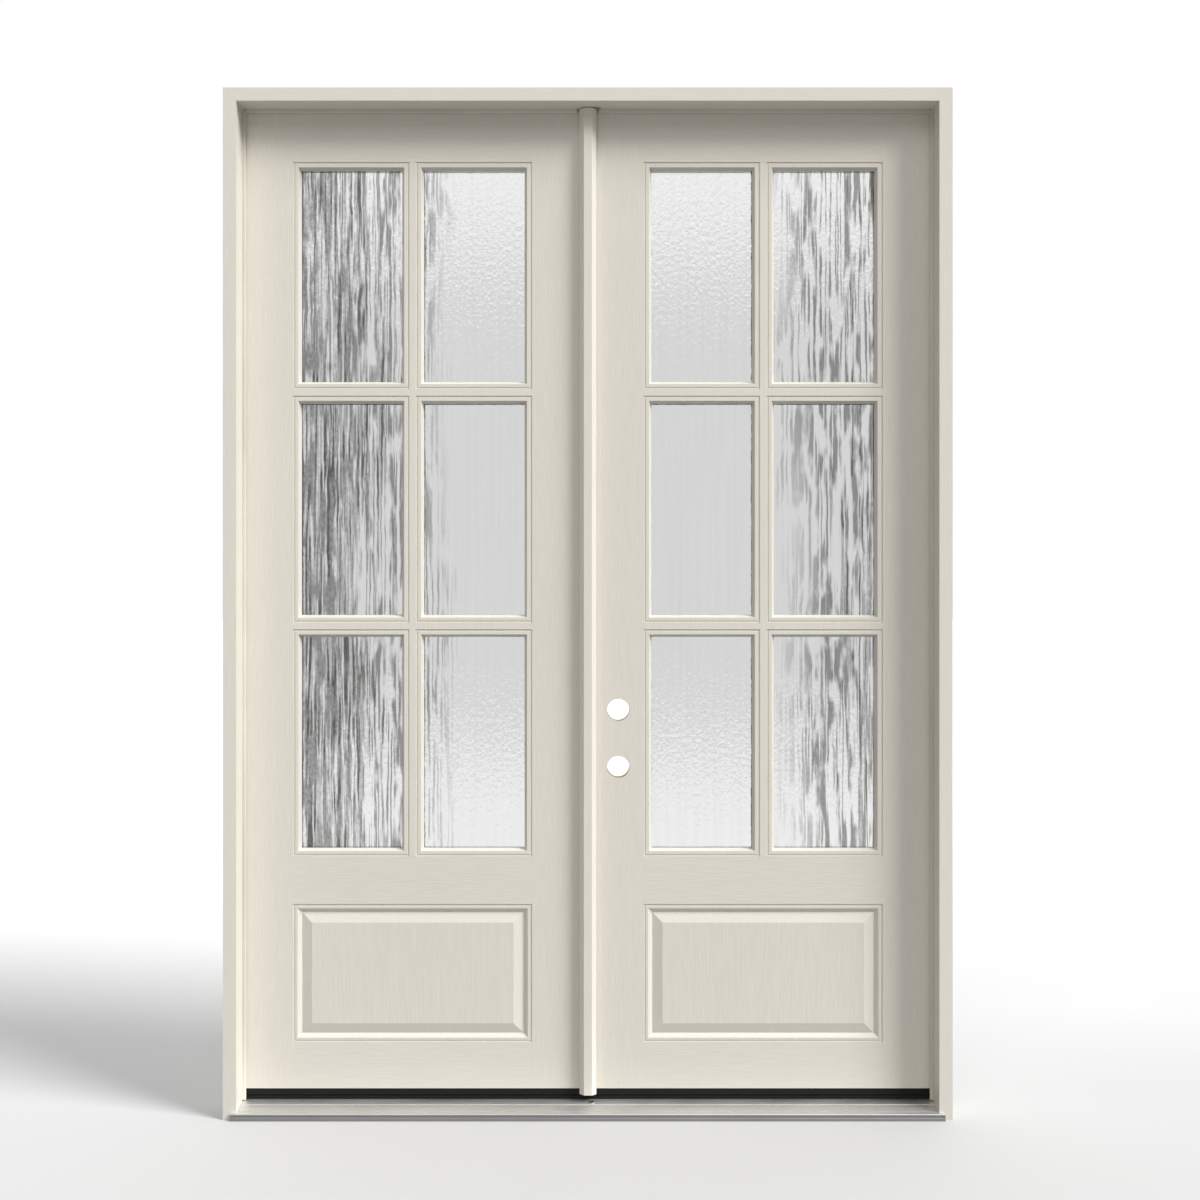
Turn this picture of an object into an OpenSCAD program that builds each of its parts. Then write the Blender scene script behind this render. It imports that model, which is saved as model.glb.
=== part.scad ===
// Pre-hung inswing double door: rabbeted frame, metal sill, a passive leaf with a T-astragal and an
// active leaf bored for a lockset. X runs across the opening, Y into the house, Z up. Millimetres.
// The front of the jambs is y = 0, the floor is z = 0 and the middle of the unit is x = 0.

/* [Frame] */
// Overall width across both jambs
frame_width = 1750; // [1300:1:2300]
// Overall height from the floor to the top of the head
frame_height = 2476; // [2000:1:2900]
// Depth of the jambs, front to back
frame_depth = 116; // [116:1:190]
// Thickness of the jambs and head at the stop
jamb_thickness = 31.75; // [28:0.05:45]
// How far the stop stands out from the rabbet
stop_projection = 12.7; // [10:0.1:16]
// Depth of the stop from the front
stop_depth = 63.5; // [50:0.1:80]
// Room in front of the leaf for the weatherstrip
seal_room = 8; // [6:0.1:10]
// Gap between leaf edge and jamb
hinge_gap = 3; // [2.4:0.1:4]
// Gap between the two leaves
meeting_gap = 8; // [7.5:0.1:12]

/* [Sill] */
// Height of the underside of the leaves above the floor
leaf_bottom = 54; // [50:0.5:80]
// Height of the top of the riser under the leaves
riser_top = 37; // [33:0.5:45]

/* [Leaf] */
// Thickness of a leaf
leaf_thickness = 44.45; // [40:0.05:57]
// Thickness of a moulded skin
skin = 2; // [1.6:0.1:2.4]
// Width of the wooden edge members inside a leaf
edge_member = 38; // [28:1:60]
// Flat width beside the lites and the panel
side_margin = 132.7; // [125:0.1:180]
// Flat height above the lites
top_margin = 137; // [100:1:200]
// Flat height below the panel
bottom_margin = 113; // [80:1:200]
// Height of the raised panel
panel_height = 337; // [200:1:500]
// Flat height between panel and lites
lock_rail = 117; // [80:1:200]

/* [Lites] */
// Lites across
lite_columns = 2; // [1:1:3]
// Lites up
lite_rows = 3; // [1:1:5]
// Width of the flat of a muntin
muntin_flat = 16.4; // [12:0.1:40]
// Depth from the face of the leaf to the glass
glass_depth = 14.2; // [12:0.1:16]
// Thickness of one pane
pane = 3; // [3:0.1:6]

/* [Hardware] */
// Hinges on each leaf
hinge_count = 4; // [3:1:5]
// Height of a hinge
hinge_height = 101.6; // [88:0.1:127]
// Thickness of a hinge plate
hinge_plate = 3; // [2:0.1:4]
// Radius of a hinge knuckle
knuckle_radius = 7.15; // [6.5:0.05:8]
// Radius of a hinge pin
pin_radius = 3.95; // [3:0.05:4.4]
// Height of the lockset bore above the floor
lockset_height = 838.5; // [800:0.5:1100]
// Height of the deadbolt bore above the lockset bore
bore_spacing = 139.7; // [120:0.1:160]
// Distance from the leaf edge to the middle of the bores
backset = 69.85; // [65:0.05:75]
// Diameter of the two lock bores
bore_diameter = 54; // [50:1:66]
// Diameter of the two bores in the leaf edge
edge_bore_diameter = 25.4; // [22:0.1:27]
// Radius of a flush bolt rod
rod_radius = 4.5; // [3:0.1:4.6]

/* [Hidden] */
$fn = 48;
// one part of a hair, to let a cutter pass a face
e = 0.05;
xo = frame_width / 2;
xs = xo - jamb_thickness;
xr = xs + stop_projection;
zs = frame_height - jamb_thickness;
zr = zs + stop_projection;
lx0 = meeting_gap / 2;
lx1 = xr - hinge_gap;
lz0 = leaf_bottom;
lz1 = zr - 3;
ly0 = stop_depth + seal_room;
ly1 = ly0 + leaf_thickness;
ym = (ly0 + ly1) / 2;
lxm = (lx0 + lx1) / 2;
hx = (lx1 + xr) / 2;
yb = max(frame_depth, ly1);
hy = yb + knuckle_radius + 0.45;
hinge_y0 = ly1 - 32;
hinge_low = lz0 + 280 + hinge_height / 2;
hinge_high = lz1 - 178 - hinge_height / 2;
hinge_z = [for (i = [0:hinge_count - 1]) hinge_low + i * (hinge_high - hinge_low) / (hinge_count - 1)];
segment = hinge_height / 5;
// lites and panel
lite_w = lx1 - lx0 - 2 * side_margin;
lite_z0 = lz0 + bottom_margin + panel_height + lock_rail;
lite_h = lz1 - top_margin - lite_z0;
lite_zm = lite_z0 + lite_h / 2;
cell_w = (lite_w - (lite_columns - 1) * muntin_flat) / lite_columns;
cell_h = (lite_h - (lite_rows - 1) * muntin_flat) / lite_rows;
leg = 10.6;
glass_w = lite_w - 2 * leg - 0.4;
glass_h = lite_h - 2 * leg - 0.4;
gap_between_panes = leaf_thickness - 2 * glass_depth - 2 * pane - 0.05;
panel_zm = lz0 + bottom_margin + panel_height / 2;
// moulding sections, each [inset from the outline, depth below the face]
cell_rings = [
    [-e, -1], [-e, 2], [4.5, 2], [5, 0.8], [12.4, 0.8], [18.7, glass_depth], [18.7, glass_depth + 1]
];
panel_rings = [[0, -1], [0, 2], [4.6, 2], [5, 0.8], [10.5, 0.8], [20.5, 8.5], [45.5, 0.8]];
panel_back = [for (i = [0:6]) i == 0 ? [-skin, skin / 2] : panel_rings[i] + [-skin, skin]];
// locks
bore_x = lx0 + backset;
bores_z = [lockset_height, lockset_height + bore_spacing];
// astragal
ast_back = ly0 - 3.5;
ast_front = ly0 - 25.5;
ast_stem = lx0 - 3;
ast_top = zs - 2;
ast_bottom = lz0 + 2;
rod_x = 9;
rod_y = ly0 - 15.5;
top_throw = 20;
bottom_throw = 30;
rod_length = 300;
rod_top = ast_top - 3;
rod_low = ast_bottom - 10;
knob_up = rod_top - 275;
knob_down = rod_low + 275;
ast_screw_z = concat(
    [lz0 + 90, lz0 + 360, lockset_height - 140],
    [for (i = [0:4]) bores_z[1] + 140 + i * (lz1 - 60 - bores_z[1] - 140) / 4]
);
// sill sections, each [y, z]
deck_top = [
    [-10, 0], [-10, 6.4], [-9.2, 7], [-9.2, 11], [-7.6, 11.4], [-7.6, 13.2], [-9.2, 13.6],
    [-9.2, 15], [-7.6, 16.4], [4.5, 17.8], [4.5, 16.9], [6.5, 17.1], [6.5, 18.2], [43, 23],
    [43, 23.8], [46, 24.2], [46, 23.6], [ly0 + 2, 27]
];
deck_back = [
    [ly0 + 2, 24], [ly1 - 2, 24], [ly1 - 2, 30], [yb, 30], [yb, 22],
    [ly0 + 0.5, 22], [ly0 + 0.5, 24.6], [-5.6, 14.4], [-5.6, 11], [-7.6, 9], [-7.6, 0]
];
core_section = [
    [-5.6, 0], [yb, 0], [yb, 22], [ly0 + 0.5, 22], [ly0 + 0.5, 24.6], [-5.6, 14.4]
];
riser_x = [-0.88 * xr, -0.52 * xr, -0.17 * xr, 0.17 * xr, 0.52 * xr, 0.88 * xr];
jamb_screw_spots = [[28, zs + 16], [90, zr + 9.5], [24, 8], [95, 11]];

paint = [0.84, 0.82, 0.77];
raw_wood = [0.78, 0.66, 0.48];
metal = [0.72, 0.72, 0.71];
steel = [0.55, 0.55, 0.54];
black = [0.13, 0.13, 0.12];
clear = [0.8, 0.88, 0.88, 0.5];
foam = [0.93, 0.89, 0.72];

// ---------------------------------------------------------------- shared shapes

module block(x0, x1, y0, y1, z0, z1) {
    translate([x0, y0, z0]) cube([x1 - x0, y1 - y0, z1 - z0]);
}

// a section drawn in [y, z], run from x0 to x1
module along_x(x0, x1) {
    translate([x0, 0, 0]) rotate([90, 0, 90]) linear_extrude(x1 - x0) children();
}

// a section drawn in [x, y], run from z0 to z1
module along_z(z0, z1) {
    translate([0, 0, z0]) linear_extrude(z1 - z0) children();
}

// a hollow or mound bounded by rectangles: rings are [inset, depth], depth runs into the leaf
module rings(cx, cz, w, h, list) {
    n = len(list);
    pts = [
        for (r = list) for (c = [[-1, -1], [1, -1], [1, 1], [-1, 1]])
            [cx + c[0] * (w / 2 - r[0]), ly0 + r[1], cz + c[1] * (h / 2 - r[0])]
    ];
    sides = [
        for (k = [0:n - 2]) for (j = [0:3])
            [4 * k + j, 4 * k + (j + 1) % 4, 4 * k + 4 + (j + 1) % 4, 4 * k + 4 + j]
    ];
    polyhedron(
        points = pts,
        faces = concat([[0, 3, 2, 1]], sides, [[4 * n - 4, 4 * n - 3, 4 * n - 2, 4 * n - 1]])
    );
}

// the same thing seen on the room side of the leaf
module room_side() {
    translate([0, 2 * ym, 0]) mirror([0, 1, 0]) children();
}

// the same thing on the left
module other_hand() {
    mirror([1, 0, 0]) children();
}

// screw with a countersunk head, head at the origin, pointing up Z
module flat_screw(length, d = 4.8, head = 9, deep = 2.6, loose = 0) {
    cylinder(h = deep, d1 = head + 2 * loose, d2 = d + 2 * loose);
    cylinder(h = length + 3 * loose, d = d + 2 * loose);
}

// turns something that points up Z to point along +X or -X
module to_right() {
    rotate([0, 90, 0]) children();
}

module to_left() {
    rotate([0, -90, 0]) children();
}

// ---------------------------------------------------------------- frame

module jamb_section() {
    polygon([
        [xs, 0], [xo, 0], [xo, frame_depth], [xr, frame_depth], [xr, stop_depth],
        [xr - 1.2, stop_depth], [xr - 1.2, stop_depth - 10], [xr - 4.2, stop_depth - 10],
        [xr - 4.2, stop_depth], [xs, stop_depth]
    ]);
}

module sill_envelope() {
    polygon(concat(deck_top, [[ly0 + 2, -1], [-10, -1]]));
}

module frame_screw_set(loose = 0) {
    for (p = jamb_screw_spots) {
        translate([xo, p[0], p[1]]) to_left() flat_screw(60, 5, 10, 3, loose);
    }
}

module hinge_screw_spots() {
    for (z = hinge_z) for (p = [[-38, 8], [-13, 20], [13, 8], [38, 20]]) {
        translate([0, hinge_y0 + p[1], z + p[0] * hinge_height / 101.6]) children();
    }
}

module jamb_solid() {
    difference() {
        along_z(0, frame_height) jamb_section();
        along_x(xs - 1, xr) sill_envelope();
        for (z = hinge_z) {
            block(
                xr - 1, xr + hinge_plate, hinge_y0, frame_depth + 1,
                z - hinge_height / 2, z + hinge_height / 2
            );
        }
        translate([xr, 0, 0]) hinge_screw_spots() to_right() flat_screw(15, loose = 0.1);
        frame_screw_set(0.1);
    }
}

module right_jamb() {
    color(paint) jamb_solid();
}

module left_jamb() {
    color(paint) other_hand() jamb_solid();
}

module head_jamb() {
    color(paint) difference() {
        union() {
            along_x(-xs, xs) polygon([
                [0, zs], [stop_depth, zs], [stop_depth, zr - 4.2], [stop_depth - 10, zr - 4.2],
                [stop_depth - 10, zr - 1.2], [stop_depth, zr - 1.2], [stop_depth, zr],
                [frame_depth, zr], [frame_depth, frame_height], [0, frame_height]
            ]);
            block(-xr, xr, stop_depth, frame_depth, zr, frame_height);
        }
        frame_screw_set(0.1);
        other_hand() frame_screw_set(0.1);
        block(rod_x - 22, rod_x + 22, rod_y - 7, rod_y + 7, zs - 1, zs + 2);
        translate([rod_x, rod_y, zs]) cylinder(h = 24, r = rod_radius + 0.8);
        for (s = [-16, 16]) {
            translate([rod_x + s, rod_y, zs]) flat_screw(8, 3.5, 7, 2, 0.1);
        }
    }
}

module frame_screws() {
    color(steel) {
        frame_screw_set();
        other_hand() frame_screw_set();
    }
}

module sill_deck() {
    color(metal) difference() {
        along_x(-xr, xr) polygon(concat(deck_top, deck_back));
        translate([rod_x, rod_y, 2]) cylinder(h = 40, r = 8.05);
        for (x = riser_x) {
            translate([x, ym, riser_top]) mirror([0, 0, 1]) flat_screw(30, 5, 10, 3, 0.1);
        }
    }
}

module sill_core() {
    color(raw_wood) difference() {
        along_x(-xr, xr) polygon(core_section);
        translate([rod_x, rod_y, 8]) cylinder(h = 40, r = 8.05);
        for (x = riser_x) {
            translate([x, ym, riser_top]) mirror([0, 0, 1]) flat_screw(30, 5, 10, 3, 0.1);
        }
        frame_screw_set(0.1);
        other_hand() frame_screw_set(0.1);
    }
}

module sill_riser() {
    color(black) difference() {
        along_x(-xr + 0.3, xr - 0.3) polygon([
            [ly0 + 2.5, 24], [ly1 - 2.3, 24], [ly1 - 2.3, riser_top - 4], [ly1 - 8, riser_top],
            [ly0 + 4, riser_top], [ly0 + 2.5, riser_top - 0.8]
        ]);
        for (x = riser_x) {
            translate([x, ym, riser_top]) mirror([0, 0, 1]) flat_screw(30, 5, 10, 3, 0.1);
        }
    }
}

module riser_screws() {
    color(steel) for (x = riser_x) {
        translate([x, ym, riser_top]) mirror([0, 0, 1]) flat_screw(30, 5, 10, 3);
    }
}

module seal_section() {
    r = (seal_room - 0.3) / 2;
    polygon([
        [xs - 9 + r, stop_depth], [xr - 4, stop_depth], [xr - 4, stop_depth - 9.5],
        [xr - 1.4, stop_depth - 9.5], [xr - 1.4, stop_depth], [xr - 0.3, stop_depth],
        [xr - 0.3, stop_depth + 2 * r], [xs - 9 + r, stop_depth + 2 * r]
    ]);
    translate([xs - 9 + r, stop_depth + r]) circle(r);
}

module right_jamb_seal() {
    color(black) along_z(28, zr - 0.3) seal_section();
}

module left_jamb_seal() {
    color(black) other_hand() along_z(28, zr - 0.3) seal_section();
}

// the same section turned to run along the head
module head_seal_run(x0, x1) {
    translate([0, 0, zr - xr]) rotate([90, 0, 90]) {
        translate([0, 0, x0]) linear_extrude(x1 - x0) {
            multmatrix([[0, 1, 0, 0], [1, 0, 0, 0], [0, 0, 1, 0], [0, 0, 0, 1]]) seal_section();
        }
    }
}

module head_seal() {
    color(black) {
        head_seal_run(26, xs - 9.4);
        other_hand() head_seal_run(26, xs - 9.4);
    }
}

module corner_pads() {
    color(black) {
        block(xr - 2.5, xr, ly0 + 2.5, ly1 - 4, riser_top + 0.2, riser_top + 52);
        other_hand() block(xr - 2.5, xr, ly0 + 2.5, ly1 - 4, riser_top + 0.2, riser_top + 52);
    }
}

module head_bolt_strike() {
    color(steel) difference() {
        block(rod_x - 22, rod_x + 22, rod_y - 7, rod_y + 7, zs, zs + 2);
        translate([rod_x, rod_y, zs - 1]) cylinder(h = 4, r = rod_radius + 0.6);
        for (s = [-16, 16]) {
            translate([rod_x + s, rod_y, zs]) flat_screw(8, 3.5, 7, 2, 0.1);
        }
    }
}

module head_strike_screws() {
    color(steel) for (s = [-16, 16]) {
        translate([rod_x + s, rod_y, zs]) flat_screw(8, 3.5, 7, 2);
    }
}

module sill_bolt_strike() {
    color(steel) difference() {
        translate([rod_x, rod_y, 8]) cylinder(h = 18, r = 8);
        translate([rod_x, rod_y, 7]) cylinder(h = 20, r = rod_radius + 0.6);
    }
}

// ---------------------------------------------------------------- hinges, drawn on the right

module jamb_hinge_solid() {
    difference() {
        union() {
            for (z = hinge_z) {
                block(xr, xr + hinge_plate, hinge_y0, hy, z - hinge_height / 2, z + hinge_height / 2);
                for (k = [0, 2, 4]) {
                    translate([hx, hy, z - hinge_height / 2 + k * segment]) {
                        cylinder(h = segment, r = knuckle_radius);
                    }
                }
            }
        }
        for (z = hinge_z) {
            for (k = [1, 3]) {
                translate([hx, hy, z - hinge_height / 2 + k * segment]) {
                    cylinder(h = segment, r = knuckle_radius + 0.35);
                }
            }
            translate([hx, hy, z - hinge_height]) cylinder(h = 2 * hinge_height, r = pin_radius + 0.05);
        }
        translate([xr, 0, 0]) hinge_screw_spots() to_right() flat_screw(15, loose = 0.1);
    }
}

module leaf_hinge_solid() {
    difference() {
        union() {
            for (z = hinge_z) {
                block(lx1 - hinge_plate, lx1, hinge_y0, hy, z - hinge_height / 2, z + hinge_height / 2);
                for (k = [1, 3]) {
                    translate([hx, hy, z - hinge_height / 2 + k * segment + 0.1]) {
                        cylinder(h = segment - 0.2, r = knuckle_radius);
                    }
                }
            }
        }
        for (z = hinge_z) {
            for (k = [0, 2, 4]) {
                translate([hx, hy, z - hinge_height / 2 + k * segment - 0.1]) {
                    cylinder(h = segment + 0.2, r = knuckle_radius + 0.35);
                }
            }
            translate([hx, hy, z - hinge_height]) cylinder(h = 2 * hinge_height, r = pin_radius + 0.05);
        }
        translate([lx1, 0, 0]) hinge_screw_spots() to_left() flat_screw(28, loose = 0.1);
    }
}

module jamb_hinge_screw_set() {
    translate([xr, 0, 0]) hinge_screw_spots() to_right() flat_screw(15);
}

module leaf_hinge_screw_set() {
    translate([lx1, 0, 0]) hinge_screw_spots() to_left() flat_screw(28);
}

module pin_set() {
    for (z = hinge_z) translate([hx, hy, z]) {
        translate([0, 0, -hinge_height / 2 - 1]) cylinder(h = hinge_height + 2, r = pin_radius);
        translate([0, 0, hinge_height / 2]) cylinder(h = 2.5, r = 6);
        translate([0, 0, -hinge_height / 2 - 2.5]) cylinder(h = 2.5, r = 6);
    }
}

module right_jamb_hinges() {
    color(steel) jamb_hinge_solid();
}

module left_jamb_hinges() {
    color(steel) other_hand() jamb_hinge_solid();
}

module jamb_hinge_screws() {
    color(steel) {
        jamb_hinge_screw_set();
        other_hand() jamb_hinge_screw_set();
    }
}

module hinge_pins() {
    color(steel) {
        pin_set();
        other_hand() pin_set();
    }
}

// ---------------------------------------------------------------- leaf, drawn on the right

module hinge_mortises() {
    for (z = hinge_z) {
        block(lx1 - hinge_plate, lx1 + 1, hinge_y0, ly1 + 1, z - hinge_height / 2, z + hinge_height / 2);
    }
}

module lite_opening() {
    block(
        lxm - lite_w / 2 - 0.1, lxm + lite_w / 2 + 0.1, ly0 - 1, ly1 + 1,
        lite_z0 - 0.1, lite_z0 + lite_h + 0.1
    );
}

module lock_bores() {
    for (z = bores_z) {
        translate([bore_x, ly0 - 1, z]) rotate([-90, 0, 0]) {
            cylinder(h = leaf_thickness + 2, d = bore_diameter);
        }
    }
}

module edge_bores() {
    for (z = bores_z) {
        translate([lx0 - 1, ym, z]) to_right() cylinder(h = backset + 1, d = edge_bore_diameter);
        block(lx0 - 1, lx0 + 3, ym - 12.7, ym + 12.7, z - 28.5, z + 28.5);
    }
}

module skin_solid(bored) {
    difference() {
        union() {
            block(lx0, lx1, ly0, ly0 + skin, lz0, lz1);
            rings(lxm, panel_zm, lite_w, panel_height, panel_back);
        }
        rings(lxm, panel_zm, lite_w, panel_height, panel_rings);
        lite_opening();
        if (bored) lock_bores();
    }
}

module room_skin_solid(bored) {
    difference() {
        room_side() skin_solid(bored);
        hinge_mortises();
    }
}

module hinge_stile_solid() {
    difference() {
        block(lx1 - edge_member, lx1, ly0 + skin, ly1 - skin, lz0, lz1);
        hinge_mortises();
        translate([lx1, 0, 0]) hinge_screw_spots() to_left() flat_screw(28, loose = 0.1);
    }
}

module lock_stile_blank() {
    block(lx0, lx0 + edge_member, ly0 + skin, ly1 - skin, lz0, lz1);
}

module rail_solid(z0) {
    block(lx0 + edge_member, lx1 - edge_member, ly0 + skin, ly1 - skin, z0, z0 + edge_member);
}

module core_solid() {
    difference() {
        block(
            lx0 + edge_member, lx1 - edge_member, ly0 + skin, ly1 - skin,
            lz0 + edge_member, lz1 - edge_member
        );
        lite_opening();
        rings(lxm, panel_zm, lite_w, panel_height, panel_back);
        room_side() rings(lxm, panel_zm, lite_w, panel_height, panel_back);
    }
}

module lock_block_blank() {
    block(
        lx0 + edge_member, lx0 + 125, ly0 + skin, ly1 - skin,
        bores_z[0] - 100, bores_z[1] + 100
    );
}

// screws through the legs of the two lite frames: [x, z] of each
lite_screw_spots = concat(
    [for (s = [-1, 1]) for (i = [0:5])
        [lxm + s * (lite_w - leg) / 2, lite_z0 + 60 + i * (lite_h - 120) / 5]],
    [for (s = [-1, 1]) for (t = [-1, 1])
        [lxm + s * lite_w / 4, lite_zm + t * (lite_h - leg) / 2]]
);

module lite_screw_set(loose = 0) {
    for (p = lite_screw_spots) translate([p[0], ly1 - 3.6, p[1]]) rotate([90, 0, 0]) {
        cylinder(h = 32 + 3 * loose, d = 3.5 + 2 * loose);
        translate([0, 0, -2.4 - 20 * loose]) cylinder(h = 2.4 + 20 * loose, d = 6.6 + 4 * loose);
    }
}

module lite_frame_blank() {
    difference() {
        block(lxm - lite_w / 2, lxm + lite_w / 2, ly0, ym, lite_z0, lite_z0 + lite_h);
        for (c = [0:lite_columns - 1]) for (r = [0:lite_rows - 1]) {
            rings(
                lxm - lite_w / 2 + cell_w / 2 + c * (cell_w + muntin_flat),
                lite_z0 + cell_h / 2 + r * (cell_h + muntin_flat),
                cell_w, cell_h, cell_rings
            );
        }
        block(
            lxm - lite_w / 2 + leg, lxm + lite_w / 2 - leg, ly0 + glass_depth, ym + 1,
            lite_z0 + leg, lite_z0 + lite_h - leg
        );
    }
}

module front_lite_frame_solid() {
    difference() {
        lite_frame_blank();
        lite_screw_set(0.1);
    }
}

module room_lite_frame_solid() {
    difference() {
        room_side() lite_frame_blank();
        lite_screw_set(0.1);
    }
}

module pane_solid(y0) {
    block(
        lxm - glass_w / 2, lxm + glass_w / 2, y0, y0 + pane,
        lite_zm - glass_h / 2, lite_zm + glass_h / 2
    );
}

module spacer_solid() {
    y0 = ly0 + glass_depth + pane;
    difference() {
        block(
            lxm - glass_w / 2, lxm + glass_w / 2, y0, y0 + gap_between_panes,
            lite_zm - glass_h / 2, lite_zm + glass_h / 2
        );
        block(
            lxm - glass_w / 2 + 7.4, lxm + glass_w / 2 - 7.4, y0 - 1, y0 + gap_between_panes + 1,
            lite_zm - glass_h / 2 + 7.4, lite_zm + glass_h / 2 - 7.4
        );
    }
}

module sweep_solid() {
    along_x(lx0, lx1) polygon([
        [ly0 + 0.6, lz0], [ly0 + 0.6, riser_top + 1.2], [ly0 + 3, riser_top + 1.2], [ly0 + 3, lz0 - 5],
        [ly0 + 12, lz0 - 5], [ly0 + 12.4, riser_top + 2], [ly0 + 13.6, riser_top + 2], [ly0 + 14, lz0 - 5],
        [ly0 + 24, lz0 - 5], [ly0 + 24.4, riser_top + 2], [ly0 + 25.6, riser_top + 2], [ly0 + 26, lz0 - 5],
        [ly1 - 8, lz0 - 5], [ly1 - 7.6, riser_top + 2], [ly1 - 6.4, riser_top + 2], [ly1 - 6, lz0 - 5],
        [ly1 - 1, lz0 - 5], [ly1 - 1, lz0]
    ]);
}

// ---------------------------------------------------------------- active leaf

module active_front_skin() {
    color(paint) skin_solid(true);
}

module active_room_skin() {
    color(paint) room_skin_solid(true);
}

module active_hinge_stile() {
    color(raw_wood) hinge_stile_solid();
}

module active_lock_stile() {
    color(raw_wood) difference() {
        lock_stile_blank();
        edge_bores();
    }
}

module active_top_rail() {
    color(raw_wood) rail_solid(lz1 - edge_member);
}

module active_bottom_rail() {
    color(raw_wood) rail_solid(lz0);
}

module active_lock_block() {
    color(raw_wood) difference() {
        lock_block_blank();
        lock_bores();
        // notched right through where the edge bore comes out of the stile
        for (z = bores_z) {
            block(lx0 + edge_member - 1, bore_x - 13, ly0, ly1, z - 18, z + 18);
        }
    }
}

module active_foam_core() {
    color(foam) difference() {
        core_solid();
        lock_block_blank();
    }
}

module active_front_lite_frame() {
    color(paint) front_lite_frame_solid();
}

module active_room_lite_frame() {
    color(paint) room_lite_frame_solid();
}

module active_lite_screws() {
    color(steel) lite_screw_set();
}

module active_front_glass() {
    color(clear) pane_solid(ly0 + glass_depth);
}

module active_room_glass() {
    color(clear) pane_solid(ly0 + glass_depth + pane + gap_between_panes);
}

module active_glass_spacer() {
    color(metal) spacer_solid();
}

module active_bottom_sweep() {
    color(black) sweep_solid();
}

module active_leaf_hinges() {
    color(steel) leaf_hinge_solid();
}

module active_hinge_screws() {
    color(steel) leaf_hinge_screw_set();
}

// ---------------------------------------------------------------- passive leaf

module passive_front_skin() {
    color(paint) other_hand() skin_solid(false);
}

module passive_room_skin() {
    color(paint) other_hand() room_skin_solid(false);
}

module passive_hinge_stile() {
    color(raw_wood) other_hand() hinge_stile_solid();
}

module strike_screw_set(loose = 0) {
    for (z = bores_z) for (s = [-28, 28]) {
        translate([ast_stem, ym, z + s]) to_left() flat_screw(25, 3.5, 7, 1.5, loose);
    }
}

module astragal_screw_set(loose = 0) {
    for (z = ast_screw_z) {
        translate([ast_stem, ym, z]) to_left() flat_screw(32, 4.8, 9, 2.6, loose);
    }
}

module strike_pockets() {
    for (z = bores_z) {
        block(-lx0 - 14, ast_stem + 1, ym - 9, ym + 9, z - 14, z + 14);
    }
}

module passive_lock_stile() {
    color(raw_wood) difference() {
        other_hand() lock_stile_blank();
        strike_pockets();
        strike_screw_set(0.1);
        astragal_screw_set(0.1);
    }
}

module passive_top_rail() {
    color(raw_wood) other_hand() rail_solid(lz1 - edge_member);
}

module passive_bottom_rail() {
    color(raw_wood) other_hand() rail_solid(lz0);
}

module passive_foam_core() {
    color(foam) other_hand() core_solid();
}

module passive_front_lite_frame() {
    color(paint) other_hand() front_lite_frame_solid();
}

module passive_room_lite_frame() {
    color(paint) other_hand() room_lite_frame_solid();
}

module passive_lite_screws() {
    color(steel) other_hand() lite_screw_set();
}

module passive_front_glass() {
    color(clear) other_hand() pane_solid(ly0 + glass_depth);
}

module passive_room_glass() {
    color(clear) other_hand() pane_solid(ly0 + glass_depth + pane + gap_between_panes);
}

module passive_glass_spacer() {
    color(metal) other_hand() spacer_solid();
}

module passive_bottom_sweep() {
    color(black) other_hand() sweep_solid();
}

module passive_leaf_hinges() {
    color(steel) other_hand() leaf_hinge_solid();
}

module passive_hinge_screws() {
    color(steel) other_hand() leaf_hinge_screw_set();
}

// ---------------------------------------------------------------- astragal

module astragal_section() {
    polygon([
        [-20.5, ly0], [-20.5, ly0 - 12], [-9.7, ast_front], [9.7, ast_front], [20.5, ly0 - 15],
        [20.5, ast_back], [ast_stem, ast_back], [ast_stem, ly1], [-lx0, ly1], [-lx0, ly0]
    ]);
}

module astragal_screws() {
    color(steel) astragal_screw_set();
}

module astragal() {
    color(paint) difference() {
        along_z(ast_bottom, ast_top) astragal_section();
        // kerf of the seal
        block(15.9, 18.1, ast_back - 3.2, ast_back + 1, ast_bottom - 1, ast_top + 1);
        // rod bores and the slots of their thumb pieces
        translate([rod_x, rod_y, rod_top - rod_length - 2]) cylinder(h = 400, r = rod_radius + 0.08);
        translate([rod_x, rod_y, 0]) cylinder(h = rod_low + rod_length + 2, r = rod_radius + 0.08);
        block(rod_x - 3.3, rod_x + 3.3, rod_y, ast_back + 1, knob_up - 3.3, knob_up + top_throw + 3.3);
        block(rod_x - 3.3, rod_x + 3.3, rod_y, ast_back + 1, knob_down - bottom_throw - 3.3, knob_down + 3.3);
        // strikes
        for (z = bores_z) {
            block(ast_stem - 1.6, ast_stem + 1, ym - 14, ym + 14, z - 35, z + 35);
        }
        strike_pockets();
        strike_screw_set(0.1);
        astragal_screw_set(0.1);
    }
}

module astragal_end_cap() {
    color(paint * 0.96) difference() {
        along_z(ast_bottom - 12, ast_bottom) astragal_section();
        translate([rod_x, rod_y, 0]) cylinder(h = 200, r = rod_radius + 0.08);
    }
}

module astragal_seal() {
    color(black) along_z(ast_bottom, ast_top) polygon([
        [14, ast_back], [16, ast_back], [16, ast_back - 3], [18, ast_back - 3], [18, ast_back],
        [20, ast_back], [20, ast_back + 1.6], [18.4, ly0 - 0.3], [15.6, ly0 - 0.3], [14, ast_back + 1.6]
    ]);
}

module strike_plates() {
    color(steel) difference() {
        for (z = bores_z) {
            block(ast_stem - 1.6, ast_stem, ym - 14, ym + 14, z - 35, z + 35);
        }
        strike_pockets();
        strike_screw_set(0.1);
    }
}

module strike_screws() {
    color(steel) strike_screw_set();
}

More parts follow.
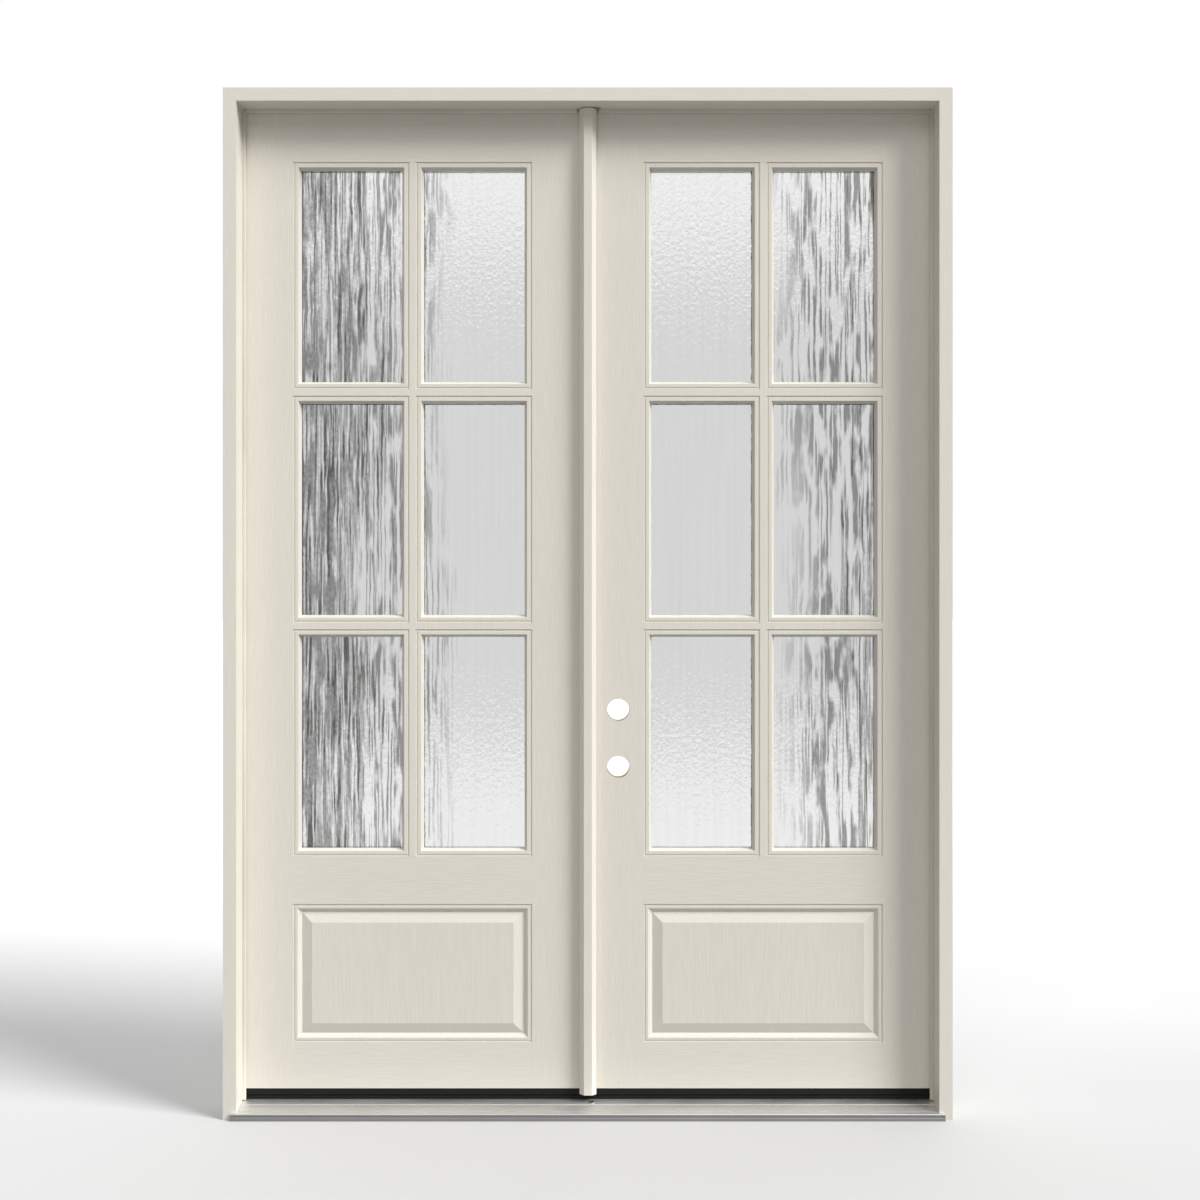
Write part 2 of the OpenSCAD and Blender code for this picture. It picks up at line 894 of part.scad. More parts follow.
module bolt_solid(z0, knob_z) {
    translate([rod_x, rod_y, z0]) cylinder(h = rod_length, r = rod_radius);
    translate([rod_x, rod_y, knob_z]) rotate([-90, 0, 0]) cylinder(h = 14, r = 3);
}

module top_flush_bolt() {
    color(steel) bolt_solid(rod_top - rod_length, knob_up);
}

module bottom_flush_bolt() {
    color(steel) bolt_solid(rod_low, knob_down);
}

// ---------------------------------------------------------------- nodes

left_jamb();
right_jamb();
head_jamb();
frame_screws();
sill_core();
sill_deck();
sill_riser();
riser_screws();
left_jamb_seal();
right_jamb_seal();
head_seal();
corner_pads();
head_bolt_strike();
head_strike_screws();
sill_bolt_strike();
left_jamb_hinges();
right_jamb_hinges();
jamb_hinge_screws();
hinge_pins();
active_front_skin();
active_room_skin();
active_hinge_stile();
active_lock_stile();
active_top_rail();
active_bottom_rail();
active_lock_block();
active_foam_core();
active_front_lite_frame();
active_room_lite_frame();
active_lite_screws();
active_front_glass();
active_room_glass();
active_glass_spacer();
active_bottom_sweep();
active_leaf_hinges();
active_hinge_screws();
passive_front_skin();
passive_room_skin();
passive_hinge_stile();
passive_lock_stile();
passive_top_rail();
passive_bottom_rail();
passive_foam_core();
passive_front_lite_frame();
passive_room_lite_frame();
passive_lite_screws();
passive_front_glass();
passive_room_glass();
passive_glass_spacer();
passive_bottom_sweep();
passive_leaf_hinges();
passive_hinge_screws();
astragal();
astragal_screws();
astragal_end_cap();
astragal_seal();
strike_plates();
strike_screws();
top_flush_bolt();
bottom_flush_bolt();
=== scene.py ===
"""French doors: the looks of a pre-hung inswing double door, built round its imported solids.

Metres. X runs across the opening, Y into the house, Z up, the floor at z = 0.
"""

import math

import bpy
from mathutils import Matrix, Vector


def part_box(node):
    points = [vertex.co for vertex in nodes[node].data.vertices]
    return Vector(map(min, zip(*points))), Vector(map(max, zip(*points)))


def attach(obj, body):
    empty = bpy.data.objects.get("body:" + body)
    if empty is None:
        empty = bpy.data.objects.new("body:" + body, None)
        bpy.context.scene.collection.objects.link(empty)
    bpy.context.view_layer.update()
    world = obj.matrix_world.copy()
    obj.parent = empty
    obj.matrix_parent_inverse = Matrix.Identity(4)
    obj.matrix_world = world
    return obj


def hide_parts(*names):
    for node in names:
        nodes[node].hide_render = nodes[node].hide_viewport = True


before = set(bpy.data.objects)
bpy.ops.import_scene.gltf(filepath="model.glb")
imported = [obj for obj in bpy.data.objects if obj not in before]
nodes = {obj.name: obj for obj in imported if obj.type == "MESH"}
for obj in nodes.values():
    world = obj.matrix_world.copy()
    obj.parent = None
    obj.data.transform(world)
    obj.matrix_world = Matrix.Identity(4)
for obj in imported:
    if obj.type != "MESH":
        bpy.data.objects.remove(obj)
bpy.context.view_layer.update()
bpy.ops.object.select_all(action="DESELECT")

# ---------------------------------------------------------------- View
# The unit is looked at square on from outside, by a level camera at half its height and a little
# to the right of its middle.

VIEW_DISTANCE = 3.724
VIEW_X = 0.0294
VIEW_HEIGHT = 1.247
LENS = 46.6

bpy.ops.object.camera_add(
    location=(VIEW_X, -VIEW_DISTANCE, VIEW_HEIGHT), rotation=(math.pi / 2, 0, 0)
)
camera = bpy.context.object
camera.name = "camera"
camera.data.lens = LENS
camera.data.sensor_width = 36
camera.data.clip_end = 100
bpy.context.scene.camera = camera

# ---------------------------------------------------------------- Studio
# A pale floor that runs out of sight under a broad key lamp high on the right in front of the
# doors, and a weaker broad lamp from the front. The surround is bright behind the doors and dim in
# front of them, as in a studio with a lit back wall.

KEY_FROM = (1.74, -1.0, 1.7)
KEY_SPREAD = 24.0
KEY_STRENGTH = 3.6
FRONT_FROM = (-0.1, -1.0, 0.95)
FRONT_SPREAD = 40.0
FRONT_STRENGTH = 0.76
SURROUND_DIM = 0.28
FLOOR_SIZE = 400.0
# the grey of the painted shade on the floor round the doors
FLOOR_PAINTED_SHADE = (0.575, 0.575, 0.575)
FLOOR_PALE = (0.92, 0.92, 0.92)


def broad_lamp(name, direction, spread, strength):
    """A far lamp, as wide as an angle in degrees, that shines from a direction."""
    turn = Vector(direction).to_track_quat("Z", "Y").to_euler()
    bpy.ops.object.light_add(type="SUN", rotation=turn)
    lamp = bpy.context.object
    lamp.name = name
    lamp.data.angle = math.radians(spread)
    lamp.data.energy = strength


broad_lamp("key_lamp", KEY_FROM, KEY_SPREAD, KEY_STRENGTH)
broad_lamp("front_lamp", FRONT_FROM, FRONT_SPREAD, FRONT_STRENGTH)


class Sum:
    """A number in a node tree, so that sums on it can be written out in full."""

    def __init__(self, tree, socket):
        self.tree = tree
        self.socket = socket

    def _math(self, operation, first, second=None):
        made = self.tree.nodes.new("ShaderNodeMath")
        made.operation = operation
        for place, value in enumerate((first, second)):
            if isinstance(value, Sum):
                self.tree.links.new(value.socket, made.inputs[place])
            elif value is not None:
                made.inputs[place].default_value = value
        return Sum(self.tree, made.outputs[0])

    def __add__(self, other):
        return self._math("ADD", self, other)

    def __radd__(self, other):
        return self._math("ADD", other, self)

    def __sub__(self, other):
        return self._math("SUBTRACT", self, other)

    def __rsub__(self, other):
        return self._math("SUBTRACT", other, self)

    def __mul__(self, other):
        return self._math("MULTIPLY", self, other)

    def __rmul__(self, other):
        return self._math("MULTIPLY", other, self)

    def __gt__(self, other):
        return self._math("GREATER_THAN", self, other)

    def __lt__(self, other):
        return self._math("LESS_THAN", self, other)

    def size(self):
        return self._math("ABSOLUTE", self)

    def or_more(self, other):
        """The larger of the two."""
        return self._math("MAXIMUM", self, other)

    def kept(self):
        """Held between 0 and 1."""
        return self._math("MINIMUM", self.or_more(0.0), 1.0)


class Wiring:
    """A shader and the nodes that feed it."""

    def __init__(self, tree, shader):
        self.tree = tree
        self.shader = tree.nodes[shader]

    def join(self, value, socket):
        if isinstance(value, Sum):
            self.tree.links.new(value.socket, socket)
        else:
            socket.default_value = value

    def feed(self, socket, value):
        self.join(value, self.shader.inputs[socket])

    def node(self, kind, settings=None, inputs=None, output=0):
        """One output of a new node. Its inputs are values or Sums, by name or by number."""
        made = self.tree.nodes.new("ShaderNode" + kind)
        for name, value in (settings or {}).items():
            setattr(made, name, value)
        for name, value in (inputs or {}).items():
            self.join(value, made.inputs[name])
        return Sum(self.tree, made.outputs[output])

    def axes(self, kind):
        """The x, y and z of a texture coordinate."""
        coordinate = self.node("TexCoord", output=kind)
        split = self.node("SeparateXYZ", inputs={0: coordinate}).socket.node
        return [Sum(self.tree, axis) for axis in split.outputs]

    def ramp(self, value, low, high, at_low, at_high):
        """A smooth change from one number to another, as a value goes from low to high."""
        inputs = {
            "Value": value,
            "From Min": low,
            "From Max": high,
            "To Min": at_low,
            "To Max": at_high,
        }
        return self.node("MapRange", {"interpolation_type": "SMOOTHSTEP"}, inputs)


class Finish(Wiring):
    """A material with one Principled shader and whatever nodes feed it."""

    def __init__(self, name, **sockets):
        self.material = bpy.data.materials.new(name)
        self.material.use_nodes = True
        super().__init__(self.material.node_tree, "Principled BSDF")
        for socket, value in sockets.items():
            self.feed(socket.replace("_", " "), value)

    def place(self):
        """Where a point of the piece is: its x, y and z in metres."""
        return self.axes("Object")

    def spot(self, x, y, z):
        return self.node("CombineXYZ", inputs={"X": x, "Y": y, "Z": z})

    def noise(self, where, scale=1.0, detail=2.0, roughness=0.5, distortion=0.0):
        inputs = {
            "Vector": where,
            "Scale": scale,
            "Detail": detail,
            "Roughness": roughness,
            "Distortion": distortion,
        }
        return self.node("TexNoise", inputs=inputs)

    def blend(self, amount, first, second):
        """A colour between two colours. The numbers are the colour mix's own sockets."""
        return self.node("Mix", {"data_type": "RGBA"}, {0: amount, 6: first, 7: second}, output=2)

    def bump(self, height, distance, strength=1.0):
        inputs = {"Height": height, "Distance": distance, "Strength": strength}
        self.feed("Normal", self.node("Bump", inputs=inputs))


def colour(red, green, blue, shade=1.0):
    return (red * shade, green * shade, blue * shade, 1.0)


world = bpy.data.worlds.new("surround")
bpy.context.scene.world = world
world.use_nodes = True
surround = Wiring(world.node_tree, "Background")
across, inward, upward = surround.axes("Generated")
back_wall = surround.ramp(inward, -0.15, 0.35, 0.0, 1.0)
overhead = surround.ramp(upward, -0.5, 0.8, 0.26, 0.78)
underside = surround.ramp(upward, -0.3, 0.1, 0.14, 0.0)
lighting = back_wall * overhead + SURROUND_DIM + underside
# what the glass shows: a pale wall between a white ceiling and a white floor
wall_and_ceiling = surround.ramp(upward, 0.20, 0.23, 0.74, 0.95)
white_floor = surround.ramp(upward, -0.096, -0.084, 0.95, 0.0)
through = wall_and_ceiling.or_more(white_floor)
glass_ray = surround.node("LightPath", output="Is Transmission Ray")
camera_ray = surround.node("LightPath", output="Is Camera Ray")
brightness = through * glass_ray + lighting * (1 - glass_ray)
surround.feed("Strength", camera_ray + brightness * (1 - camera_ray))
surround.feed("Color", colour(1, 1, 1))

bpy.ops.mesh.primitive_plane_add(size=FLOOR_SIZE, location=(0, 0, 0))
floor = bpy.context.object
floor.name = "studio_floor"
floor.visible_diffuse = False
floor.visible_shadow = False
floor.visible_transmission = False
floor.visible_glossy = False

# one seamless matt sheet with painted shade: greyest round the doors, where they would shade it,
# and paler in front, beside and far behind
sheet = Finish("studio_sheet", Roughness=0.7)
floor_x, floor_y, floor_z = sheet.place()
mottle = sheet.noise(sheet.spot(floor_x, floor_y, floor_z), scale=1.4, detail=2.0)
behind = 0.22 * ((floor_y - 0.25) * 1.2).kept() + 0.78 * ((floor_y - 1.2) * 0.22).kept()
in_front = ((floor_y * -1.0 - 0.9) * 0.3).kept()
beside = ((floor_x.size() - 2.5) * 0.3).kept() * (floor_y < 1.2)
clear_of_painted_shade = (behind + in_front + beside + 0.06 * (mottle - 0.5)).kept()
# painted shade: the sheet goes from its pale grey down to the shade grey round the doors
sheet.feed("Base Color", sheet.blend(clear_of_painted_shade, colour(*FLOOR_PAINTED_SHADE), colour(*FLOOR_PALE)))
floor.data.materials.append(sheet.material)

bpy.context.scene.view_settings.view_transform = "Standard"


# ---------------------------------------------------------------- Jambs and head
# Finger-jointed pine, milled with a rabbet for the leaves, primed and painted a warm off-white.
# The side jambs run to the floor and the head is screwed between them.

PAINT = (0.735, 0.698, 0.620)
FINE_GRAIN = 420.0
ALONG_X, ALONG_Z = 0, 2
JAMB_EASE = 0.0007
MERGE_WITHIN = 0.00002
FLAT_WITHIN = math.radians(0.6)
CORNER_OVER = math.radians(25)


def grain_height(finish, across, depth, along, fineness):
    """Wood grain: long fine pores over slow soft bands. 0 in a pore, about 1 between."""
    pore_spot = finish.spot(across * fineness, depth * fineness, along * fineness * 0.035)
    band_spot = finish.spot(across * fineness * 0.14, depth * 20.0, along * 1.6)
    pores = finish.noise(pore_spot, detail=3.0)
    bands = finish.noise(band_spot, detail=2.0, distortion=0.6)
    ticks = ((pores - 0.42) * 5.0).kept()
    return ticks * 0.6 + bands * 0.4


def grain(finish, along_axis, fineness):
    """Wood grain that runs along one axis."""
    x, y, z = finish.place()
    if along_axis == ALONG_Z:
        return grain_height(finish, x, y, z, fineness)
    return grain_height(finish, z, y, x, fineness)


def paint_drift(finish):
    """Where the paint film is a little thicker or thinner."""
    x, y, z = finish.place()
    return finish.noise(finish.spot(x * 2.0, y * 2.0, z * 1.2), detail=2.0)


def painted_wood(name, along_axis, fineness=FINE_GRAIN):
    """Satin paint over wood whose grain runs along one axis."""
    finish = Finish(name)
    height = grain(finish, along_axis, fineness)
    tone = (height * 0.55 + paint_drift(finish) * 0.45).kept()
    finish.feed("Base Color", finish.blend(tone, colour(*PAINT, 0.95), colour(*PAINT, 1.055)))
    finish.feed("Roughness", 0.36 + 0.14 * tone)
    finish.bump(height, 0.00022, 0.8)
    return finish.material


def eased_copy(node, body, material, ease, name):
    """A copy of a solid with its long edges eased by a sander. It takes the solid's place."""
    bpy.ops.object.select_all(action="DESELECT")
    copy = nodes[node].copy()
    copy.data = nodes[node].data.copy()
    copy.name = name
    bpy.context.scene.collection.objects.link(copy)
    copy.parent = None
    copy.matrix_world = nodes[node].matrix_world.copy()
    bpy.context.view_layer.objects.active = copy
    copy.select_set(True)
    bpy.ops.object.transform_apply(location=True, rotation=True, scale=True)
    bpy.ops.object.mode_set(mode="EDIT")
    bpy.ops.mesh.select_all(action="SELECT")
    bpy.ops.mesh.remove_doubles(threshold=MERGE_WITHIN)
    bpy.ops.mesh.dissolve_limited(angle_limit=FLAT_WITHIN)
    bpy.ops.object.mode_set(mode="OBJECT")
    edge = copy.modifiers.new("eased", "BEVEL")
    edge.width = ease
    edge.segments = 2
    edge.limit_method = "ANGLE"
    edge.angle_limit = CORNER_OVER
    edge.use_clamp_overlap = True
    bpy.ops.object.modifier_apply(modifier="eased")
    bpy.ops.object.shade_flat()
    copy.data.materials.clear()
    copy.data.materials.append(material)
    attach(copy, body)
    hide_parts(node)


upright_paint = painted_wood("jamb_paint_upright", ALONG_Z)
level_paint = painted_wood("head_paint_level", ALONG_X)
for part, paint in (
    ("left_jamb", upright_paint), ("right_jamb", upright_paint), ("head_jamb", level_paint)
):
    eased_copy(part, "frame", paint, JAMB_EASE, part + "_milled")


# ---------------------------------------------------------------- Sill
# An extruded aluminium deck with a rounded nose, left in its mill finish, over a composite core.
# A dark riser under the leaves is held down by screws that set its height.

SILL_METAL = (0.80, 0.80, 0.795)
# the height under which the sill's nose gets painted shade
SHADED_NOSE_BELOW = 0.0165
BLACK_VINYL = (0.007, 0.007, 0.005)
PALE_TIMBER = (0.56, 0.46, 0.34)
DARK_TIMBER = (0.40, 0.31, 0.21)


def wear(node, material):
    """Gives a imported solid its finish."""
    mesh = nodes[node].data
    mesh.materials.clear()
    mesh.materials.append(material)


def mill_finish(name, tone, roughness, shade_below=-1.0):
    """Extruded aluminium: fine die lines along X and a little dullness in patches. Below a given
    height the colour is darkened as painted shade, for the shaded nose of the deck."""
    finish = Finish(name, Metallic=1.0)
    x, y, z = finish.place()
    lines = finish.noise(finish.spot(x * 1.5, y * 900.0, z * 900.0), detail=2.0)
    patches = finish.noise(finish.spot(x * 6.0, y * 20.0, z * 20.0), detail=3.0)
    mixed = (lines * 0.5 + patches * 0.5).kept()
    clean = finish.blend(mixed, colour(*tone, 0.92), colour(*tone, 1.06))
    # painted shade: below the given height the colour goes halfway to a fifth of its tone
    painted_nose_shade = ((shade_below - z) * 500.0).kept()
    finish.feed("Base Color", finish.blend(painted_nose_shade * 0.5, clean, colour(*tone, 0.2)))
    finish.feed("Roughness", roughness + 0.18 * patches)
    finish.bump(lines, 0.00004, 0.6)
    return finish.material


def soft_plastic(name, tone, roughness, fineness, depth):
    """Vinyl, rubber or polyethylene with a faint moulded texture."""
    finish = Finish(name, Specular_IOR_Level=0.25)
    x, y, z = finish.place()
    fleck_and_sparkle = finish.noise(finish.spot(x, y, z), scale=fineness, detail=3.0)
    haze = finish.noise(finish.spot(x * 3.0, y * 30.0, z * 3.0), detail=2.0)
    finish.feed("Base Color", finish.blend(haze, colour(*tone, 0.8), colour(*tone, 1.35)))
    finish.feed("Roughness", roughness + 0.15 * haze)
    finish.bump(fleck_and_sparkle, depth, 0.6)
    return finish.material


def raw_timber(name, along_axis):
    """Unpainted softwood or composite, planed."""
    finish = Finish(name, Roughness=0.65)
    height = grain(finish, along_axis, 300.0)
    timber = finish.blend(height.kept(), colour(*DARK_TIMBER), colour(*PALE_TIMBER))
    finish.feed("Base Color", timber)
    finish.bump(height, 0.0002, 0.7)
    return finish.material


dark_vinyl = soft_plastic("riser_vinyl", BLACK_VINYL, 0.70, 900.0, 0.00012)
wear("sill_deck", mill_finish("sill_aluminium", SILL_METAL, 0.42, SHADED_NOSE_BELOW))
wear("sill_core", raw_timber("sill_core_timber", ALONG_X))
wear("sill_riser", dark_vinyl)


# ---------------------------------------------------------------- Weatherstrips
# Foam in a polyethylene skin, pushed into a kerf in the stop, and two pads at the foot of the
# jambs. The skin is moulded in the colour of the frame.

STRIP_SKIN = (0.600, 0.570, 0.490)

strip_skin = soft_plastic("weatherstrip_skin", STRIP_SKIN, 0.50, 700.0, 0.00015)
for strip in ("left_jamb_seal", "right_jamb_seal", "head_seal", "corner_pads", "astragal_seal"):
    wear(strip, strip_skin)


# ---------------------------------------------------------------- Leaf skins
# Each leaf has two pressed fibreglass skins with a wood grain: upright on the stiles and the raised
# panel, level on the three rails. They are painted like the frame.

LEAVES = ("active", "passive")
LOCK_RAIL = 0.117
PANEL = 0.337


def skin_paint(leaf):
    """Paint over the pressed grain, which turns where stile meets rail."""
    low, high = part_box(leaf + "_front_lite_frame")
    panel_top = low.z - LOCK_RAIL
    panel_foot = panel_top - PANEL
    finish = Finish(leaf + "_skin_paint")
    x, y, z = finish.place()
    middle = (low.x + high.x) / 2
    between_stiles = (x - middle).size() < (high.x - low.x) / 2
    top_rail = z > high.z
    lock_rail = (z > panel_top) * (z < low.z)
    bottom_rail = z < panel_foot
    level = between_stiles * (top_rail + lock_rail + bottom_rail).kept()
    upright_grain = grain(finish, ALONG_Z, FINE_GRAIN)
    level_grain = grain(finish, ALONG_X, FINE_GRAIN)
    height = upright_grain * (1 - level) + level_grain * level
    tone = (height * 0.6 + paint_drift(finish) * 0.4).kept()
    finish.feed("Base Color", finish.blend(tone, colour(*PAINT, 0.92), colour(*PAINT, 1.05)))
    finish.feed("Roughness", 0.38 + 0.14 * tone)
    finish.bump(height, 0.0002, 0.8)
    return finish.material


for leaf in LEAVES:
    paint = skin_paint(leaf)
    wear(leaf + "_front_skin", paint)
    wear(leaf + "_room_skin", paint)


# ---------------------------------------------------------------- Leaf insides
# Laminated stiles, composite rails and a foam core fill the skins. The stile edges show when a leaf
# is open and are painted; the rails stay raw.

PALE_FOAM = (0.88, 0.82, 0.58)
DARK_FOAM = (0.70, 0.62, 0.36)


def foamed_core(name):
    """Rigid foam with small cells."""
    finish = Finish(name, Roughness=0.8)
    x, y, z = finish.place()
    cells = finish.noise(finish.spot(x, y, z), scale=260.0, detail=4.0)
    finish.feed("Base Color", finish.blend(cells, colour(*DARK_FOAM), colour(*PALE_FOAM)))
    finish.bump(cells, 0.0004, 0.8)
    return finish.material


rail_timber = raw_timber("rail_timber", ALONG_X)
stile_paint = painted_wood("stile_edge_paint", ALONG_Z, fineness=360.0)
core_foam = foamed_core("polyurethane_foam")
for leaf in LEAVES:
    wear(leaf + "_hinge_stile", stile_paint)
    wear(leaf + "_lock_stile", stile_paint)
    wear(leaf + "_top_rail", rail_timber)
    wear(leaf + "_bottom_rail", rail_timber)
    wear(leaf + "_foam_core", core_foam)
wear("active_lock_block", raw_timber("lock_block_timber", ALONG_Z))


# ---------------------------------------------------------------- Lite frames
# Two moulded grilles clamp the glazing from both sides. Each lite has a quirk, a flat band and a
# sloped bead down to the glass; the muntins are flush with the face of the leaf.

LITE_EASE = 0.0006

for leaf in LEAVES:
    for side in ("front", "room"):
        grille = leaf + "_" + side
        eased_copy(
            grille + "_lite_frame", leaf + "_leaf", upright_paint, LITE_EASE,
            grille + "_grille"
        )


# ---------------------------------------------------------------- Glazing
# Insulated units of two panes. The outer pane is rolled with a rain texture: long upright runs that
# wander and swell. The texture is real relief on its inner face; the room pane is plain float.

RAIN_GRID_ACROSS = 0.0023
RAIN_GRID_ALONG = 0.017
RAIN_STRETCH = 11.0
RAIN_DEPTH = 0.0011
RAIN_SWELL = 0.012
SMOOTH_UNDER = math.radians(35)
CLEAR_GLASS = (0.93, 0.932, 0.932)
# the dark of the painted reflection in the rain glass
REFLECTED_DARK = (0.14, 0.14, 0.133)
RIPPLE_DEPTH = 0.0036
SPACER_METAL = (0.55, 0.55, 0.55)


def rain_glass(name):
    """Clear glass whose upright runs carry painted reflection, dark streaks and light glints, most
    of all towards the jambs.
    """
    outer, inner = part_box("active_front_glass")
    finish = Finish(name, Transmission_Weight=1.0, IOR=1.5, Roughness=0.0)
    x, y, z = finish.place()

    def streaks(sideways, across, layer, along, detail=2.0, roughness=0.5):
        """A noise with so many streaks a metre, across and along the runs."""
        spot = finish.spot(sideways * across, layer, z * along)
        return finish.noise(spot, detail=detail, roughness=roughness)

    def lines(streak, thinness, crispness):
        """Thin lines where a streak passes its middle value."""
        return ((1.0 - (streak - 0.5).size() * thinness) * crispness).kept()

    wander = streaks(x, 20.0, 0.0, 17.0, detail=3.0)
    bent_x = x + (wander - 0.5) * 0.0075
    runs = streaks(bent_x, 104.0, 3.0, 1.9, roughness=0.6)
    breaks = streaks(bent_x, 42.0, 6.0, 10.0)
    veins = streaks(bent_x, 84.0, 8.0, 1.8, detail=1.0)
    glints = streaks(bent_x, 86.0, 12.0, 2.4, detail=1.0)
    # fine flecks: real ripples on the inner face, and painted sparkle in the dark runs
    fleck_and_sparkle = streaks(x, 135.0, 7.0, 82.0, roughness=0.6)
    cloud = streaks(x, 5.0, 5.0, 2.6)
    # the share of painted reflection, dark, falls from the jambs to the middle of each leaf
    outward = (x.size() - 0.43) * 3.4 - x * 0.45 + (cloud - 0.5) * 0.8
    ragged = (runs - 0.5) * 4.0 + (breaks - 0.5) * 1.1
    # painted reflection: where the runs are painted dark, as if they showed dark surroundings
    painted_reflection = (((outward - 0.66) * 1.7 + ragged) * 3.4 + 0.5).kept()
    # where along the runs the painted veins and glints show
    vein_reach = ((breaks - 0.40) * 7.0).kept()
    # painted reflection: thin dark veins along the runs
    painted_dark_vein = lines(veins, 11.0, 3.0) * vein_reach
    painted_dark_vein = painted_dark_vein * ((outward + 0.22) * 2.6).kept() * (1.0 - 0.6 * painted_reflection)
    # painted highlight: bright glints along the runs
    painted_glint = lines(glints, 10.0, 2.2) * vein_reach
    faint = ((runs - 0.45) * 1.4).kept() * 0.08
    # painted reflection: how dark the glass is painted, less where glints are painted
    painted_dark = painted_reflection * (0.70 - 0.62 * painted_glint + 0.6 * (fleck_and_sparkle - 0.5)) + painted_dark_vein * 0.72 + faint
    # painted reflection and glints tint the glass from clear to dark
    tint = finish.blend(painted_dark.kept(), colour(*CLEAR_GLASS), colour(*REFLECTED_DARK))
    finish.feed("Base Color", tint)
    # only the inner face is rolled: ripples on both faces would cancel out
    rolled = y > (outer.y + inner.y) / 2
    finish.bump((runs * 0.2 + veins * 0.1 + fleck_and_sparkle * 0.5) * rolled, RIPPLE_DEPTH)
    return finish.material


def float_glass(name):
    """Plain clear glass, hardly tinted."""
    finish = Finish(name, Transmission_Weight=1.0, IOR=1.5, Roughness=0.0)
    x, y, z = finish.place()
    haze = finish.noise(finish.spot(x * 4.0, y, z * 4.0), detail=1.0)
    tint = finish.blend(haze, colour(0.97, 0.98, 0.975), colour(0.99, 0.995, 0.99))
    finish.feed("Base Color", tint)
    return finish.material


rain_runs = bpy.data.textures.new("rain_runs", "CLOUDS")
rain_runs.noise_scale = RAIN_SWELL
rain_runs.noise_depth = 2


def rain_pane(leaf, glass):
    """A pane whose inner face is rolled into upright runs."""
    low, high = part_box(leaf + "_front_glass")
    size = high - low
    middle = (low + high) / 2
    bpy.ops.object.select_all(action="DESELECT")
    bpy.ops.mesh.primitive_grid_add(
        x_subdivisions=int(size.x / RAIN_GRID_ACROSS),
        y_subdivisions=int(size.z / RAIN_GRID_ALONG),
        size=1,
        location=(middle.x, high.y, middle.z),
        rotation=(-math.pi / 2, 0, 0),
    )
    pane = bpy.context.object
    pane.name = leaf + "_rain_pane"
    pane.scale = (size.x, size.z / RAIN_STRETCH, 1)
    bpy.ops.object.transform_apply(location=False, rotation=True, scale=True)
    # the runs are pressed while the sheet is short, then it is drawn out to its length
    press = pane.modifiers.new("press", "DISPLACE")
    press.texture = rain_runs
    press.texture_coords = "LOCAL"
    press.direction = "Y"
    press.strength = RAIN_DEPTH
    press.mid_level = 1.0
    bpy.ops.object.modifier_apply(modifier="press")
    bpy.ops.object.mode_set(mode="EDIT")
    bpy.ops.mesh.select_all(action="SELECT")
    bpy.ops.transform.resize(value=(1, 1, RAIN_STRETCH))
    # walls and the flat outer face close the sheet
    bpy.ops.mesh.select_all(action="DESELECT")
    bpy.ops.mesh.select_non_manifold()
    bpy.ops.mesh.extrude_region_move()
    bpy.ops.transform.resize(value=(1, 0, 1))
    bpy.ops.object.mode_set(mode="OBJECT")
    for vertex in pane.data.vertices:
        if vertex.select:
            vertex.co.y = -size.y
    bpy.ops.object.mode_set(mode="EDIT")
    bpy.ops.mesh.edge_face_add()
    bpy.ops.mesh.select_all(action="SELECT")
    bpy.ops.mesh.normals_make_consistent(inside=False)
    bpy.ops.object.mode_set(mode="OBJECT")
    bpy.ops.object.transform_apply(location=True, rotation=True, scale=True)
    bpy.ops.object.shade_smooth_by_angle(angle=SMOOTH_UNDER)
    pane.data.materials.append(glass)
    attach(pane, leaf + "_leaf")
    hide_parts(leaf + "_front_glass")


rain = rain_glass("rain_glass")
clear_glass = float_glass("float_glass")
spacer_metal = mill_finish("spacer_metal", SPACER_METAL, 0.35)
for leaf in LEAVES:
    rain_pane(leaf, rain)
    wear(leaf + "_room_glass", clear_glass)
    wear(leaf + "_glass_spacer", spacer_metal)


# ---------------------------------------------------------------- Bottom sweeps
# A front skirt and three fins that trail on the riser. They are extruded in the same black vinyl
# as the riser and pinned to the foot of the leaf.

for leaf in LEAVES:
    wear(leaf + "_bottom_sweep", dark_vinyl)


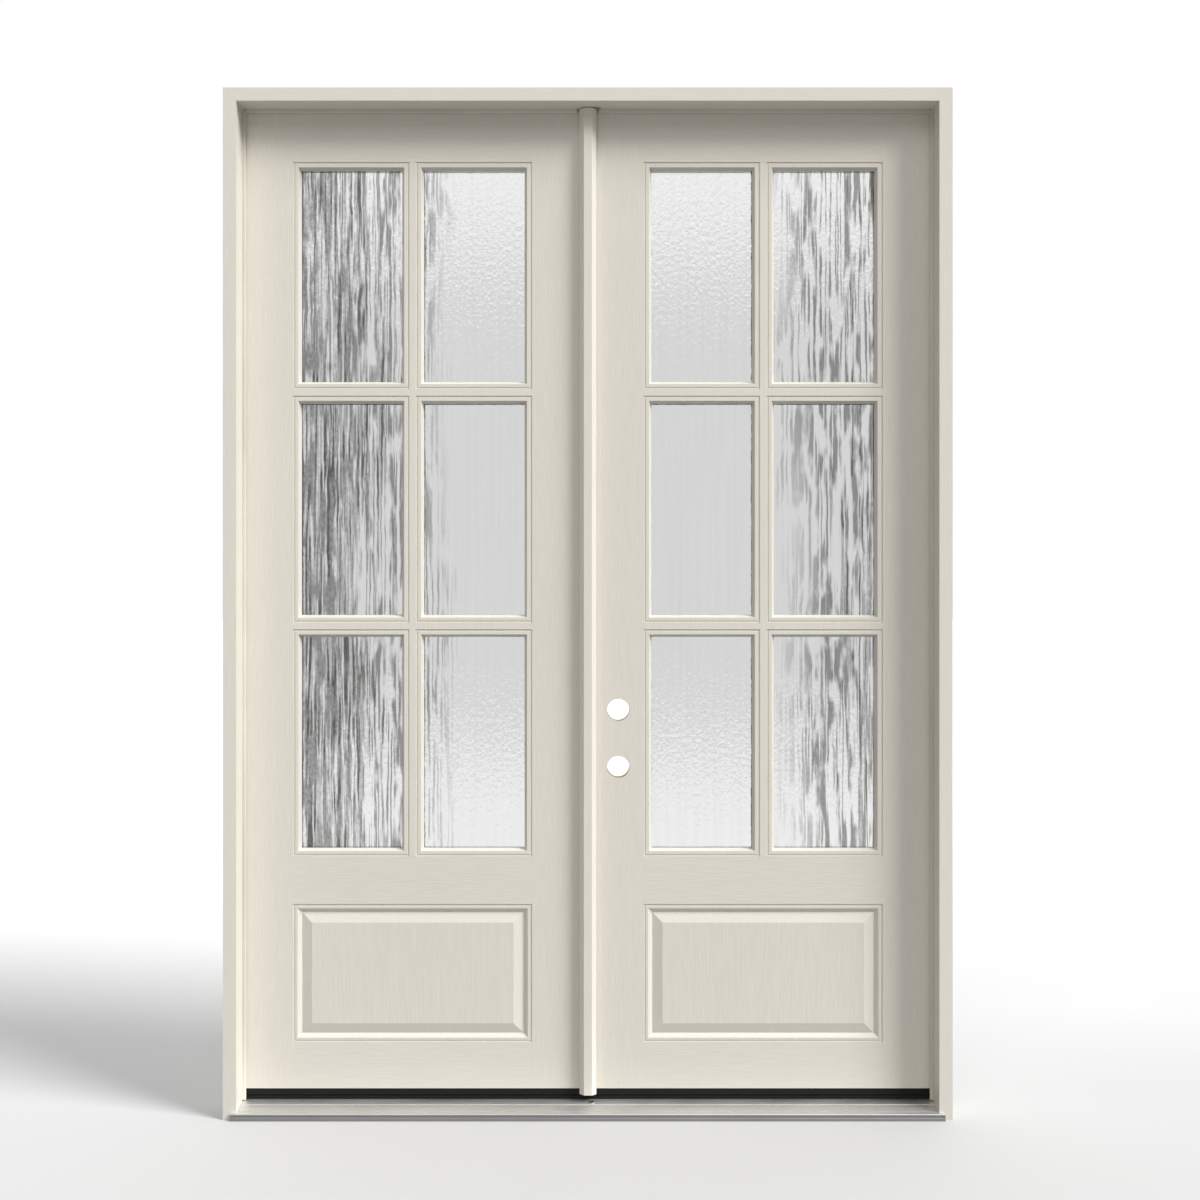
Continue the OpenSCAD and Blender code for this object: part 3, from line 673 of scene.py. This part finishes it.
# ---------------------------------------------------------------- Astragal
# A painted T-section screwed to the edge of the passive leaf. Its cap laps the active leaf, and it
# carries the flush bolts and the strikes. A foot cap closes its lower end.

ASTRAGAL_EASE = 0.0008

for part, name in (("astragal", "astragal_milled"), ("astragal_end_cap", "astragal_foot")):
    eased_copy(part, "passive_leaf", upright_paint, ASTRAGAL_EASE, name)


# ---------------------------------------------------------------- Hinges, bolts and strikes
# Plain-tipped steel butts, four to a leaf, brushed and plated, with pressed pins. Bolts and strikes
# have the same finish.

HINGE_STEEL = (0.56, 0.55, 0.52)
ACROSS_BRUSH = 700.0
ALONG_BRUSH = 12.0


def brushed_steel(name, tone, along_axis):
    """Plated steel, brushed along one axis, with faint smudges."""
    finish = Finish(name, Metallic=1.0)
    x, y, z = finish.place()
    stretch = [ACROSS_BRUSH] * 3
    stretch[along_axis] = ALONG_BRUSH
    brush_spot = finish.spot(x * stretch[0], y * stretch[1], z * stretch[2])
    brush = finish.noise(brush_spot, detail=2.0)
    smudge = finish.noise(finish.spot(x * 25.0, y * 25.0, z * 25.0), detail=2.0)
    finish.feed("Base Color", finish.blend(brush, colour(*tone, 0.88), colour(*tone, 1.1)))
    finish.feed("Roughness", 0.24 + 0.2 * smudge)
    finish.bump(brush, 0.00005, 0.6)
    return finish.material


plated = brushed_steel("hinge_plate_steel", HINGE_STEEL, ALONG_Z)
for part in (
    "left_jamb_hinges", "right_jamb_hinges", "hinge_pins", "active_leaf_hinges",
    "passive_leaf_hinges", "top_flush_bolt", "bottom_flush_bolt", "strike_plates",
    "head_bolt_strike", "sill_bolt_strike"
):
    wear(part, plated)


# ---------------------------------------------------------------- Screws
# Zinc-plated steel with turned heads, set flush in their countersinks. They hold the frame, the
# riser, the hinges, the lite frames, the astragal and the strikes.

ZINC = (0.62, 0.62, 0.60)

zinc = brushed_steel("zinc_plate", ZINC, ALONG_X)
for screws in (
    "frame_screws", "riser_screws", "head_strike_screws", "jamb_hinge_screws", "active_lite_screws",
    "active_hinge_screws", "passive_lite_screws", "passive_hinge_screws", "astragal_screws",
    "strike_screws"
):
    wear(screws, zinc)
